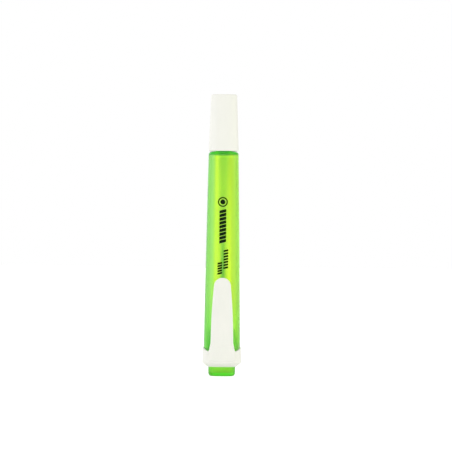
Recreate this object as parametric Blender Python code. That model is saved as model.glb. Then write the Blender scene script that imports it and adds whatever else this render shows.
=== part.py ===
"""A pocket highlighter, standing on its end plug with the cap on top, built as the separate pieces it
comes apart into. Blender works in metres. +Z runs up the pen's axis from the end plug to the cap, and the
clip faces -Y. The origin is on the axis, at the middle of the end plug's flat end.

The casings are oval: each is a stack of rings, one above the other, that walks up the outside of the piece
and, where the piece is hollow, back down its inside.
"""

import math
from collections import namedtuple

import bmesh
import bpy

MM = 0.001

# Driving dimensions
PEN_LENGTH = 130 * MM
REAR_HALF_WIDTH = 8.4 * MM  # of the barrel, just above the collar
FRONT_HALF_WIDTH = 6.95 * MM  # of the barrel, at its front shoulder
DEPTH_SHARE = 0.85  # the casings' depth as a share of their width
OVAL = 2.8  # superellipse exponent of the casings: 2 is an ellipse, and more is squarer
ROUND = 2.0
SLAB = 4.0  # exponent of the nib, a rounded rectangle
RING_POINTS = 48
RIB = 0.8 * MM  # thickness of the moulded ribs

# Barrel
BARREL_WALL = 1.1 * MM
BARREL_REAR_Z = 7.8 * MM
BARREL_FRONT_Z = 103.45 * MM
SHOULDER_RADIUS = 1.3 * MM
TAPER_START_Z = 14 * MM
TAPER_POWER = 1.15  # the barrel's sides are full near the collar and straighten towards the front
SEAT_STEP = 0.5 * MM  # how much smaller the barrel is under the collar
LEVEL_HEIGHT = 3 * MM  # above the collar, where the dip of its edge has died out of the barrel's rings
FRONT_BORE = 4.15 * MM
FRONT_BORE_DEPTH = 1.5 * MM
BORE_CHAMFER = 0.3 * MM
RIB_START_Z = 24 * MM
RIB_END_Z = 41 * MM
RIB_GAP = 0.2 * MM  # between the ribs and the film
RIB_PAIR = 2.0 * MM  # between the middles of the two ribs that flank the rod's front, and its back

# Clip collar
COLLAR_BOTTOM_Z = 4.3 * MM
COLLAR_WIDEST_Z = 6.9 * MM
COLLAR_TOP_Z = 13.45 * MM
COLLAR_WIDEST = 9.1 * MM  # half-width
COLLAR_BAND = 0.6 * MM  # height of the upright band at the widest place
COLLAR_EDGE = (0.28 * MM, 0.35 * MM)  # chamfer under that band: inwards, downwards
COLLAR_RIM_EDGE = 0.2 * MM
COLLAR_TOP = 8.87 * MM  # half-width
COLLAR_MOUTH_EDGE = 6.75 * MM  # half-width of the collar's lower end, inside its chamfer
COLLAR_LIP_Z = 6.3 * MM  # the inner side of the lip that holds the plug's flange
COLLAR_LIP_HALF_WIDTH = 7.3 * MM
COLLAR_SEAT_Z = 7.2 * MM
COLLAR_DIP = 2.3 * MM  # how far the top edge dips at the front and back
DIP_POWER = 1.5  # the dip starts gently at the sides
SEAT_GAP = 0.2 * MM

# End plug
TAIL_HALF_WIDTH = 6.25 * MM
TAIL_EDGE_RADIUS = 1.5 * MM
PLUG_FLANGE = 7.45 * MM  # half-width
PLUG_FLANGE_Z = (7.15 * MM, 7.5 * MM)
PLUG_FLANGE_SLOPE = 0.6 * MM
PLUG_TOP_Z = 21.4 * MM
PLUG_WALL = 1.1 * MM
PLUG_FLOOR = 1.5 * MM
PLUG_LEAD_IN = (0.3 * MM, 0.5 * MM)  # chamfer of the skirt's end: inwards, downwards
PLUG_NARROWING_Z = (7.4 * MM, 8.2 * MM)  # where the hollow steps in from the skirt to the tail
PLUG_DRAFT = 0.3 * MM
PLUG_GAP = 0.15 * MM
REST_BAR_Z = (8.6 * MM, 10.7 * MM)  # the bar across the plug that the reservoir stands on

# Clip arm
CLIP_GAP = 1.05 * MM  # between the barrel and the arm
CLIP_THICKNESS = 1.6 * MM
CLIP_ROOT_Z = 14.2 * MM
CLIP_TIP_Z = 45.5 * MM
CLIP_ROOT_HALF_WIDTH = 5.2 * MM
CLIP_TIP_RADIUS = 3.9 * MM
CLIP_NARROWING = 2  # the arm's sides are straight at its root and curve in towards its tip
CLIP_SPLIT = 0.3 * MM  # the slit that stands for the line where the moulding bends
CLIP_EDGE = 0.35 * MM
CLIP_PAD_Z = 40.6 * MM
CLIP_PAD_SIZE = (4.8 * MM, 2.8 * MM)  # width, height
CLIP_PAD_CLEARANCE = 0.25 * MM
CLIP_FOOT_STANDOFF = 0.6 * MM  # of the foot's lower edge from the barrel, inside the collar's wall
CLIP_FOOT_MIDDLE_Z = 10.2 * MM
CLIP_FOOT_FLARE = (0.7 * MM, 0.45 * MM)  # how much wider the foot is at its lower edge and its middle

# Ink reservoir and its film
RESERVOIR_RADIUS = 4.1 * MM
RESERVOIR_Z = (11 * MM, 101.7 * MM)
FILM_GAP = 0.1 * MM
FILM_THICKNESS = 0.2 * MM
FILM_MARGIN = 1 * MM  # how far the rod stands out of the film at each end
FIBRE_CHAMFER = 0.3 * MM

# Nib and nib holder
NIB_HALF_WIDTH = 2.2 * MM
NIB_HALF_DEPTH = 1.4 * MM
NIB_FOOT_Z = 91.5 * MM
NIB_WEDGE_Z = 118.2 * MM
NIB_LOW_Z = 120.0 * MM
NIB_TIP_Z = 122.9 * MM
NIB_EDGE_SHARE = 0.5  # the chisel edge's thickness as a share of the shank's
NIB_SPARE = 1 * MM  # the felt that the slanting cut takes off
HOLDER_REAR_Z = 102.0 * MM
HOLDER_FLANGE = 4.6 * MM
HOLDER_FLANGE_Z = (103.75 * MM, 104.65 * MM)
HOLDER_PLUG = 4.0 * MM
HOLDER_NECK = 3.6 * MM
HOLDER_CONE_Z = 112.5 * MM
HOLDER_MOUTH = 3.0 * MM
HOLDER_MOUTH_Z = 117.6 * MM
HOLDER_CHAMFER = 0.3 * MM
CHANNEL_GAP = 0.12 * MM
VENT_GROOVE = 0.6 * MM
VENT_GROOVE_END = 0.5 * MM  # below the flange

# Cap
CAP_MOUTH_Z = 103.8 * MM
CAP_MOUTH_HALF_WIDTH = 6.95 * MM
CAP_TOP_HALF_WIDTH = 6.0 * MM
CAP_WALL = 0.9 * MM
CAP_ROOF = 1.4 * MM
CAP_EDGE_RADIUS = 0.7 * MM
CAP_MOUTH_EDGE = 0.15 * MM
CAP_VENT = (0.7 * MM, 2.4 * MM)
CAP_RIB_Z = (109 * MM, 126.5 * MM)

# Round liner pressed into the cap
LINER_MOUTH_Z = 106.2 * MM
LINER_MOUTH = 4.35 * MM
LINER_TOP = 3.95 * MM
LINER_TOP_Z = 128.4 * MM
LINER_SEAL = 3.72 * MM
LINER_SEAL_Z = (107.0 * MM, 107.6 * MM)
LINER_BORE = 3.88 * MM
LINER_BORE_TOP = 3.3 * MM
LINER_ROOF = 0.6 * MM
LINER_GAP = 0.15 * MM
LINER_MOUTH_FLARE = 0.2 * MM
LINER_SEAL_SLOPE = 0.4 * MM
LINER_CHAMFER = 0.3 * MM

BEYOND = 1 * MM  # how far a cutter reaches past what it cuts

Ring = namedtuple("Ring", "z half_width half_depth power dip", defaults=(OVAL, 0.0))


def oval(z, half_width, less=0.0, dip=0.0):
    """A ring of a casing whose wall is that far inside an oval of the pen's own proportions."""
    return Ring(z, half_width - less, half_width * DEPTH_SHARE - less, OVAL, dip)


def around_barrel(z, half_width, dip=0.0):
    """A ring of a piece that stands off the barrel's rear by the same distance all round."""
    rear_half_depth = REAR_HALF_WIDTH * DEPTH_SHARE
    return Ring(z, half_width, rear_half_depth + half_width - REAR_HALF_WIDTH, OVAL, dip)


def turned(z, radius):
    return Ring(z, radius, radius, ROUND)


def rounding(steps):
    """Shares of a quarter round, from its start to its end: (inwards, upwards)."""
    angles = [math.pi / 2 * step / steps for step in range(steps + 1)]
    return [(1 - math.cos(angle), math.sin(angle)) for angle in angles]


def ring_corners(ring):
    corners = []
    for index in range(RING_POINTS):
        angle = 2 * math.pi * index / RING_POINTS
        across, back = math.cos(angle), math.sin(angle)
        x = math.copysign(abs(across) ** (2 / ring.power), across) * ring.half_width
        y = math.copysign(abs(back) ** (2 / ring.power), back) * ring.half_depth
        low = ring.dip * abs(y / ring.half_depth) ** DIP_POWER
        corners.append((x, y, ring.z - low))
    return corners


def finish(name, bm, material):
    """Turns the mesh's faces outwards and links it as an object, smooth on its round stretches."""
    bmesh.ops.recalc_face_normals(bm, faces=bm.faces)
    mesh = bpy.data.meshes.new(name)
    bm.to_mesh(mesh)
    bm.free()
    mesh.shade_smooth()
    mesh.set_sharp_from_angle(angle=math.radians(35))
    piece = bpy.data.objects.new(name, mesh)
    bpy.context.scene.collection.objects.link(piece)
    if material:
        mesh.materials.append(material)
    return piece


def stack(name, rings, material, through=False):
    """A solid through a stack of rings. Its ends are closed, or joined to each other if it is a tube."""
    bm = bmesh.new()
    loops = [[bm.verts.new(corner) for corner in ring_corners(ring)] for ring in rings]
    pairs = list(zip(loops, loops[1:]))
    if through:
        pairs.append((loops[-1], loops[0]))
    else:
        bm.faces.new(loops[0])
        bm.faces.new(loops[-1])
    for lower, upper in pairs:
        for here in range(RING_POINTS):
            there = (here + 1) % RING_POINTS
            bm.faces.new((lower[here], lower[there], upper[there], upper[here]))
    return finish(name, bm, material)


def plate(name, outline, near, far, material=None, axis="Y"):
    """An outline of (x, z) corners extruded along Y, or of (y, z) corners along X, from near to far."""
    bm = bmesh.new()
    if axis == "Y":
        corners = [bm.verts.new((across, near, z)) for across, z in outline]
        along = (0, far - near, 0)
    else:
        corners = [bm.verts.new((near, across, z)) for across, z in outline]
        along = (far - near, 0, 0)
    side = bm.faces.new(corners)
    made = bmesh.ops.extrude_face_region(bm, geom=[side])
    moved = [item for item in made["geom"] if isinstance(item, bmesh.types.BMVert)]
    bmesh.ops.translate(bm, vec=along, verts=moved)
    return finish(name, bm, material)


def block(name, low, high):
    outline = [(low[0], low[2]), (high[0], low[2]), (high[0], high[2]), (low[0], high[2])]
    return plate(name, outline, low[1], high[1])


def combine(piece, helper, operation):
    """Cuts the helper out of the piece, or joins it on, and hides the helper."""
    boolean = piece.modifiers.new(helper.name, "BOOLEAN")
    boolean.operation = operation
    boolean.object = helper
    boolean.solver = "EXACT"
    helper.hide_render = True
    helper.display_type = "WIRE"


def plastic(name, colour, roughness, transmission=0.0):
    made = bpy.data.materials.new(name)
    made.use_nodes = True
    shader = made.node_tree.nodes["Principled BSDF"]
    shader.inputs["Base Color"].default_value = (*colour, 1)
    shader.inputs["Roughness"].default_value = roughness
    shader.inputs["Metallic"].default_value = 0
    shader.inputs["Transmission Weight"].default_value = transmission
    return made


def barrel_half_width(z):
    share = (z - TAPER_START_Z) / (BARREL_FRONT_Z - SHOULDER_RADIUS - TAPER_START_Z)
    share = min(max(share, 0), 1)
    return REAR_HALF_WIDTH - (REAR_HALF_WIDTH - FRONT_HALF_WIDTH) * share**TAPER_POWER


def cap_half_width(z):
    share = (z - CAP_MOUTH_Z) / (PEN_LENGTH - CAP_MOUTH_Z)
    return CAP_MOUTH_HALF_WIDTH - (CAP_MOUTH_HALF_WIDTH - CAP_TOP_HALF_WIDTH) * share


def rib_outline(side, inner_low, inner_high, z_range, wall_at, steps=4):
    """A rib from its inner edge into the casing's wall, which tapers, as (outwards, z) corners."""
    low, high = z_range
    outline = [(side * inner_high, high), (side * inner_low, low)]
    for step in range(steps + 1):
        z = low + (high - low) * step / steps
        outline.append((side * wall_at(z), z))
    return outline


def make_barrel(material):
    seat = REAR_HALF_WIDTH - SEAT_STEP
    step_z = COLLAR_TOP_Z + SEAT_GAP
    rings = [
        around_barrel(BARREL_REAR_Z, seat),
        around_barrel(step_z, seat, COLLAR_DIP),
        around_barrel(step_z, REAR_HALF_WIDTH, COLLAR_DIP),
    ]
    shoulder_z = BARREL_FRONT_Z - SHOULDER_RADIUS
    flank_steps = 9
    start_z = COLLAR_TOP_Z + LEVEL_HEIGHT
    for step in range(flank_steps):
        z = start_z + (shoulder_z - start_z) * step / flank_steps
        rings.append(oval(z, barrel_half_width(z)))
    for inwards, upwards in rounding(4):
        z = shoulder_z + SHOULDER_RADIUS * upwards
        rings.append(oval(z, FRONT_HALF_WIDTH, SHOULDER_RADIUS * inwards))
    bore_end_z = BARREL_FRONT_Z - FRONT_BORE_DEPTH
    rings.append(turned(BARREL_FRONT_Z, FRONT_BORE))
    rings.append(turned(bore_end_z, FRONT_BORE))
    inner_top_z = bore_end_z - BORE_CHAMFER
    inner_steps = 6
    for step in range(inner_steps + 1):
        z = inner_top_z + (BARREL_REAR_Z - inner_top_z) * step / inner_steps
        rings.append(oval(z, barrel_half_width(z), BARREL_WALL))
    barrel = stack("barrel", rings, material, through=True)

    def into_wall(z):
        return barrel_half_width(z) * DEPTH_SHARE - BARREL_WALL / 2

    clear = RESERVOIR_RADIUS + FILM_GAP + FILM_THICKNESS + RIB_GAP
    for side, label in ((-1, "front"), (1, "back")):
        outline = rib_outline(side, clear, clear, (RIB_START_Z, RIB_END_Z), into_wall)
        for middle, hand in ((-RIB_PAIR / 2, "left"), (RIB_PAIR / 2, "right")):
            name = f"barrel_rib_{label}_{hand}"
            rib = plate(name, outline, middle - RIB / 2, middle + RIB / 2, axis="X")
            combine(barrel, rib, "UNION")
    return barrel


def make_end_plug(material):
    shell = REAR_HALF_WIDTH - BARREL_WALL - PLUG_GAP
    inner = shell - PLUG_WALL
    tail_inner = TAIL_HALF_WIDTH - PLUG_WALL
    rings = []
    for inwards, upwards in rounding(4):
        less = TAIL_EDGE_RADIUS * (1 - upwards)
        rings.append(around_barrel(TAIL_EDGE_RADIUS * inwards, TAIL_HALF_WIDTH - less))
    rings += [
        around_barrel(PLUG_FLANGE_Z[0] - PLUG_FLANGE_SLOPE, TAIL_HALF_WIDTH),
        around_barrel(PLUG_FLANGE_Z[0], PLUG_FLANGE),
        around_barrel(PLUG_FLANGE_Z[1], PLUG_FLANGE),
        around_barrel(PLUG_FLANGE_Z[1], shell),
        around_barrel(PLUG_TOP_Z - PLUG_LEAD_IN[1], shell),
        around_barrel(PLUG_TOP_Z, shell - PLUG_LEAD_IN[0]),
        around_barrel(PLUG_TOP_Z, inner),
        around_barrel(PLUG_NARROWING_Z[1], inner),
        around_barrel(PLUG_NARROWING_Z[0], tail_inner),
        around_barrel(PLUG_FLOOR, tail_inner - PLUG_DRAFT),
    ]
    plug = stack("end_plug", rings, material)
    low, high = REST_BAR_Z
    half_depth = inner - REAR_HALF_WIDTH * (1 - DEPTH_SHARE) + PLUG_WALL / 2
    bar = block("rest_bar", (-RIB, -half_depth, low), (RIB, half_depth, high))
    combine(plug, bar, "UNION")
    return plug


def make_collar(material):
    seat = REAR_HALF_WIDTH - SEAT_STEP + SEAT_GAP
    hole = TAIL_HALF_WIDTH + SEAT_GAP
    inwards, downwards = COLLAR_EDGE
    rings = [
        around_barrel(COLLAR_BOTTOM_Z, hole),
        around_barrel(COLLAR_BOTTOM_Z, COLLAR_MOUTH_EDGE),
        around_barrel(COLLAR_WIDEST_Z - downwards, COLLAR_WIDEST - inwards),
        around_barrel(COLLAR_WIDEST_Z, COLLAR_WIDEST),
        around_barrel(COLLAR_WIDEST_Z + COLLAR_BAND, COLLAR_WIDEST),
        around_barrel(COLLAR_TOP_Z - COLLAR_RIM_EDGE, COLLAR_TOP, COLLAR_DIP),
        around_barrel(COLLAR_TOP_Z, COLLAR_TOP - COLLAR_RIM_EDGE, COLLAR_DIP),
        around_barrel(COLLAR_TOP_Z, seat, COLLAR_DIP),
        around_barrel(COLLAR_SEAT_Z, seat),
        around_barrel(COLLAR_LIP_Z, COLLAR_LIP_HALF_WIDTH),
        around_barrel(COLLAR_LIP_Z, hole),
    ]
    collar = stack("clip_collar", rings, material, through=True)
    combine(collar, make_clip_boss(), "UNION")
    return collar


def clip_faces():
    """Where the arm's inner and outer faces lie, along Y."""
    inner = -(REAR_HALF_WIDTH * DEPTH_SHARE + CLIP_GAP)
    return inner, inner - CLIP_THICKNESS


def make_clip_boss():
    """The foot that carries the arm: it rises out of the collar's front and flares to both sides."""
    _, outer = clip_faces()
    top_z = CLIP_ROOT_Z - CLIP_SPLIT
    behind = -(REAR_HALF_WIDTH * DEPTH_SHARE + SEAT_GAP)
    foot = -(REAR_HALF_WIDTH * DEPTH_SHARE + CLIP_FOOT_STANDOFF)
    low_flare, middle_flare = CLIP_FOOT_FLARE
    bm = bmesh.new()
    loops = []
    for z, half_width, front in (
        (COLLAR_WIDEST_Z, CLIP_ROOT_HALF_WIDTH + low_flare, foot),
        (CLIP_FOOT_MIDDLE_Z, CLIP_ROOT_HALF_WIDTH + middle_flare, (foot + 2 * outer) / 3),
        (top_z, CLIP_ROOT_HALF_WIDTH, outer),
    ):
        corners = [(-half_width, behind), (half_width, behind), (half_width, front), (-half_width, front)]
        loops.append([bm.verts.new((x, y, z)) for x, y in corners])
    bm.faces.new(loops[0])
    bm.faces.new(loops[-1])
    for lower, upper in zip(loops, loops[1:]):
        for here in range(4):
            there = (here + 1) % 4
            bm.faces.new((lower[here], lower[there], upper[there], upper[here]))
    boss = finish("clip_boss", bm, None)
    soften(boss, CLIP_EDGE)
    return boss


def soften(piece, width):
    bevel = piece.modifiers.new("edges", "BEVEL")
    bevel.width = width
    bevel.segments = 2
    bevel.limit_method = "ANGLE"
    bevel.angle_limit = math.radians(40)


def make_clip_arm(material):
    inner, outer = clip_faces()
    tip_start_z = CLIP_TIP_Z - CLIP_TIP_RADIUS
    side_steps = 6
    right_side = []
    for step in range(side_steps):
        share = step / side_steps
        half_width = CLIP_ROOT_HALF_WIDTH - (CLIP_ROOT_HALF_WIDTH - CLIP_TIP_RADIUS) * share**CLIP_NARROWING
        right_side.append((half_width, CLIP_ROOT_Z + (tip_start_z - CLIP_ROOT_Z) * share))
    outline = list(right_side)
    tip_steps = 16
    for step in range(tip_steps + 1):
        angle = math.pi * step / tip_steps
        x = CLIP_TIP_RADIUS * math.cos(angle)
        outline.append((x, tip_start_z + CLIP_TIP_RADIUS * math.sin(angle)))
    outline += [(-half_width, z) for half_width, z in reversed(right_side)]
    arm = plate("clip_arm", outline, outer, inner, material)
    barrel_front = -barrel_half_width(CLIP_PAD_Z) * DEPTH_SHARE
    pad_face = barrel_front - CLIP_PAD_CLEARANCE
    pad_root = inner - CLIP_THICKNESS / 2
    half_width, half_height = [size / 2 for size in CLIP_PAD_SIZE]
    pad = block(
        "clip_pad",
        (-half_width, pad_root, CLIP_PAD_Z - half_height),
        (half_width, pad_face, CLIP_PAD_Z + half_height),
    )
    soften(pad, CLIP_EDGE)
    soften(arm, CLIP_EDGE)
    combine(arm, pad, "UNION")
    return arm


def make_reservoir(fibre, film):
    low, high = RESERVOIR_Z
    stack(
        "ink_reservoir",
        [
            turned(low, RESERVOIR_RADIUS - FIBRE_CHAMFER),
            turned(low + FIBRE_CHAMFER, RESERVOIR_RADIUS),
            turned(high, RESERVOIR_RADIUS),
            Ring(high, NIB_HALF_WIDTH + CHANNEL_GAP, NIB_HALF_DEPTH + CHANNEL_GAP, SLAB),
            Ring(NIB_FOOT_Z - CHANNEL_GAP, NIB_HALF_WIDTH + CHANNEL_GAP, NIB_HALF_DEPTH + CHANNEL_GAP, SLAB),
        ],
        fibre,
    )
    inside = RESERVOIR_RADIUS + FILM_GAP
    outside = inside + FILM_THICKNESS
    stack(
        "reservoir_film",
        [
            turned(low + FILM_MARGIN, outside),
            turned(high - FILM_MARGIN, outside),
            turned(high - FILM_MARGIN, inside),
            turned(low + FILM_MARGIN, inside),
        ],
        film,
        through=True,
    )


def make_nib(material):
    """A slab of felt whose end is cut aslant across its width and thinned to a chisel edge."""
    rings = [
        Ring(NIB_FOOT_Z, NIB_HALF_WIDTH, NIB_HALF_DEPTH, SLAB),
        Ring(NIB_WEDGE_Z, NIB_HALF_WIDTH, NIB_HALF_DEPTH, SLAB),
        Ring(NIB_TIP_Z + NIB_SPARE, NIB_HALF_WIDTH, NIB_HALF_DEPTH * NIB_EDGE_SHARE, SLAB),
    ]
    nib = stack("nib", rings, material)
    slope = (NIB_TIP_Z - NIB_LOW_Z) / (2 * NIB_HALF_WIDTH)
    side = NIB_HALF_WIDTH + BEYOND
    above = NIB_TIP_Z + NIB_SPARE + BEYOND
    outline = [
        (-side, NIB_LOW_Z - slope * BEYOND),
        (side, NIB_TIP_Z + slope * BEYOND),
        (side, above),
        (-side, above),
    ]
    slant = plate("nib_slant", outline, -NIB_HALF_DEPTH * 2, NIB_HALF_DEPTH * 2)
    combine(nib, slant, "DIFFERENCE")
    return nib


def make_nib_holder(material):
    low, high = HOLDER_FLANGE_Z
    rings = [
        turned(HOLDER_REAR_Z, HOLDER_PLUG - HOLDER_CHAMFER),
        turned(HOLDER_REAR_Z + HOLDER_CHAMFER, HOLDER_PLUG),
        turned(low, HOLDER_PLUG),
        turned(low, HOLDER_FLANGE),
        turned(high, HOLDER_FLANGE),
        turned(high, HOLDER_NECK),
        turned(HOLDER_CONE_Z, HOLDER_NECK),
        turned(HOLDER_MOUTH_Z - HOLDER_CHAMFER, HOLDER_MOUTH + HOLDER_CHAMFER / 2),
        turned(HOLDER_MOUTH_Z, HOLDER_MOUTH - HOLDER_CHAMFER / 2),
        Ring(HOLDER_MOUTH_Z, NIB_HALF_WIDTH + CHANNEL_GAP, NIB_HALF_DEPTH + CHANNEL_GAP, SLAB),
        Ring(HOLDER_REAR_Z, NIB_HALF_WIDTH + CHANNEL_GAP, NIB_HALF_DEPTH + CHANNEL_GAP, SLAB),
    ]
    holder = stack("nib_holder", rings, material, through=True)
    for side, label in ((1, "back"), (-1, "front")):
        bottom = side * (HOLDER_PLUG - VENT_GROOVE)
        top = side * (HOLDER_PLUG + VENT_GROOVE)
        low_y, high_y = sorted((bottom, top))
        groove = block(
            f"vent_groove_{label}",
            (-VENT_GROOVE / 2, low_y, HOLDER_REAR_Z - BEYOND),
            (VENT_GROOVE / 2, high_y, low - VENT_GROOVE_END),
        )
        combine(holder, groove, "DIFFERENCE")
    return holder


def make_cap(material):
    edge_z = CAP_MOUTH_Z + CAP_MOUTH_EDGE
    rings = [
        oval(CAP_MOUTH_Z, CAP_MOUTH_HALF_WIDTH, CAP_MOUTH_EDGE),
        oval(edge_z, cap_half_width(edge_z)),
    ]
    round_start_z = PEN_LENGTH - CAP_EDGE_RADIUS
    for inwards, upwards in rounding(4):
        z = round_start_z + CAP_EDGE_RADIUS * upwards
        rings.append(oval(z, cap_half_width(round_start_z), CAP_EDGE_RADIUS * inwards))
    cap = stack("cap", rings, material)
    ceiling_z = PEN_LENGTH - CAP_ROOF
    hollow = stack(
        "cap_hollow",
        [
            oval(CAP_MOUTH_Z - BEYOND, CAP_MOUTH_HALF_WIDTH, CAP_WALL),
            oval(ceiling_z, cap_half_width(ceiling_z), CAP_WALL),
        ],
        None,
    )
    combine(cap, hollow, "DIFFERENCE")

    def into_wall(z):
        return cap_half_width(z) - CAP_WALL / 2

    def beside_liner(z):
        share = (z - LINER_MOUTH_Z) / (LINER_TOP_Z - LINER_MOUTH_Z)
        return LINER_MOUTH - (LINER_MOUTH - LINER_TOP) * share + LINER_GAP

    low, high = CAP_RIB_Z
    for side, label in ((1, "right"), (-1, "left")):
        outline = rib_outline(side, beside_liner(low), beside_liner(high), CAP_RIB_Z, into_wall)
        combine(cap, plate(f"cap_rib_{label}", outline, -RIB / 2, RIB / 2), "UNION")
    width, length = CAP_VENT
    centre = (LINER_TOP + cap_half_width(ceiling_z) - CAP_WALL) / 2
    for side, label in ((1, "right"), (-1, "left")):
        slot = block(
            f"cap_vent_{label}",
            (side * centre - width / 2, -length / 2, ceiling_z - BEYOND),
            (side * centre + width / 2, length / 2, PEN_LENGTH + BEYOND),
        )
        combine(cap, slot, "DIFFERENCE")
    return cap


def make_cap_liner(material):
    seal_low, seal_high = LINER_SEAL_Z
    rings = [
        turned(LINER_TOP_Z - LINER_ROOF, LINER_BORE_TOP),
        turned(seal_high + LINER_SEAL_SLOPE, LINER_BORE),
        turned(seal_high, LINER_SEAL),
        turned(seal_low, LINER_SEAL),
        turned(LINER_MOUTH_Z, LINER_BORE + LINER_MOUTH_FLARE),
        turned(LINER_MOUTH_Z, LINER_MOUTH),
        turned(LINER_TOP_Z - LINER_CHAMFER, LINER_TOP),
        turned(LINER_TOP_Z, LINER_TOP - LINER_CHAMFER),
    ]
    return stack("cap_liner", rings, material)


def main():
    for leftover in list(bpy.data.objects):
        bpy.data.objects.remove(leftover)
    green = plastic("clear_green_plastic", (0.42, 0.86, 0.12), 0.18, transmission=0.8)
    white = plastic("white_plastic", (0.86, 0.87, 0.81), 0.38)
    felt = plastic("soaked_felt", (0.66, 0.93, 0.05), 0.9)
    film = plastic("clear_film", (0.92, 0.97, 0.85), 0.1, transmission=0.9)
    make_barrel(green)
    make_end_plug(green)
    make_collar(white)
    make_clip_arm(white)
    make_reservoir(felt, film)
    make_nib(felt)
    make_nib_holder(green)
    make_cap(white)
    make_cap_liner(white)


main()
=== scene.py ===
import math
from collections import namedtuple

import bmesh
import bpy
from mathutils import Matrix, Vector


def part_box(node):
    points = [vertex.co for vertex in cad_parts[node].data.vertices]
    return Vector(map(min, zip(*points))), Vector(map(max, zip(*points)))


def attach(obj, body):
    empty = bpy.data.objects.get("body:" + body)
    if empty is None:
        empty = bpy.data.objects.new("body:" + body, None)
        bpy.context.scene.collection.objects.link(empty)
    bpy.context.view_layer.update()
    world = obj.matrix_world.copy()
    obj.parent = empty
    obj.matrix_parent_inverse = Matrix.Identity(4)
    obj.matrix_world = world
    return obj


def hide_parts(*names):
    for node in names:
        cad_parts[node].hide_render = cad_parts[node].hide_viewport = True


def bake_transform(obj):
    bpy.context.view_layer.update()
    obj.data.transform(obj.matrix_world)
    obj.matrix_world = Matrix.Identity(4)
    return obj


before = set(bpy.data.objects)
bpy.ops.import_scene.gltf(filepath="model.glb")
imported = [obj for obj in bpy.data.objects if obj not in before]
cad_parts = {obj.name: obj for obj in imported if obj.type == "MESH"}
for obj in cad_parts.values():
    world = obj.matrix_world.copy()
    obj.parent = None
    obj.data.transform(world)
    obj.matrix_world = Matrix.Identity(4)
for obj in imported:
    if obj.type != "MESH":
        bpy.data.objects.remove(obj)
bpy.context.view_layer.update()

MM = 0.001

# The oval that the casings share
DEPTH_SHARE = 0.85  # a casing's depth as a share of its width
OVAL = 2.8  # superellipse exponent of the casings: 2 is an ellipse, and more is squarer
ROUND = 2.0
SLAB = 4.0  # exponent of the nib, a rounded rectangle
POINTS_ROUND = 144

# Where the design's nodes are
BARREL_LOW, BARREL_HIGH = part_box("barrel")
CAP_LOW, CAP_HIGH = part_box("cap")
COLLAR_LOW, COLLAR_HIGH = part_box("clip_collar")
ARM_LOW, ARM_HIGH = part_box("clip_arm")
PLUG_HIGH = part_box("end_plug")[1]
FIBRE_LOW, FIBRE_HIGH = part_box("ink_reservoir")
FILM_LOW, FILM_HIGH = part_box("reservoir_film")
NIB_LOW, NIB_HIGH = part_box("nib")
HOLDER_LOW, HOLDER_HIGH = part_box("nib_holder")
LINER_LOW, LINER_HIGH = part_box("cap_liner")

# Barrel
REAR_HALF_WIDTH = BARREL_HIGH.x
REAR_INSET = REAR_HALF_WIDTH * (1 - DEPTH_SHARE)  # how much less deep than wide the rear fittings are
FRONT_HALF_WIDTH = 6.95 * MM
SHOULDER_RADIUS = 1.3 * MM
BARREL_WALL = 1.1 * MM
TAPER_START = 14 * MM
TAPER_END = BARREL_HIGH.z - SHOULDER_RADIUS
TAPER_POWER = 1.15  # full near the collar and straighter towards the front

# The collar, and the seat that it sits on
COLLAR_TOP = 13.45 * MM
COLLAR_DIP = 2.3 * MM  # how far the collar's top edge dips at the front and back
COLLAR_WIDEST_Z = 6.2 * MM
COLLAR_DRAFT = 0.035  # how much the collar narrows for each millimetre of height
BEVEL_RUN = 2.35 * MM  # the bevel under the collar's widest line: inwards, and downwards
BEVEL_RISE = 1.9 * MM
COLLAR_LIP_Z = 6.3 * MM  # the top of the lip under the end plug's flange
COLLAR_LIP_REACH = 1.8 * MM  # how far the lip reaches inside the barrel's rear oval
COLLAR_BORE_REACH = 0.3 * MM
SEAT_GAP = 0.2 * MM
SEAT_STEP = 0.5 * MM

# The clip
CLIP_THICKNESS = 1.6 * MM
CLIP_TIP_RADIUS = 3.9 * MM
CLIP_CROWN = 0.28 * MM  # how far the arm's face falls away at its sides
CLIP_LEAN = 0.27  # slope of the clip's foot, back to the collar
CLIP_LEAN_TOP = 13.6 * MM
FLARE_TOP = 16.8 * MM  # where the arm's sides start to spread into the collar
FLARE_CURVE = 0.035
FLARE_MOST = 0.9 * MM
PAD_Z = 40.6 * MM  # the bump on the arm's back that grips a hem
PAD_HALF_WIDTH = 2.4 * MM
PAD_HALF_LENGTH = 1.4 * MM
PAD_GAP = 0.17 * MM

Ring = namedtuple("Ring", "z half_width half_depth power dip slant", defaults=(OVAL, 0.0, 0.0))


# Node trees ------------------------------------------------------------------------------------------


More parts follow.
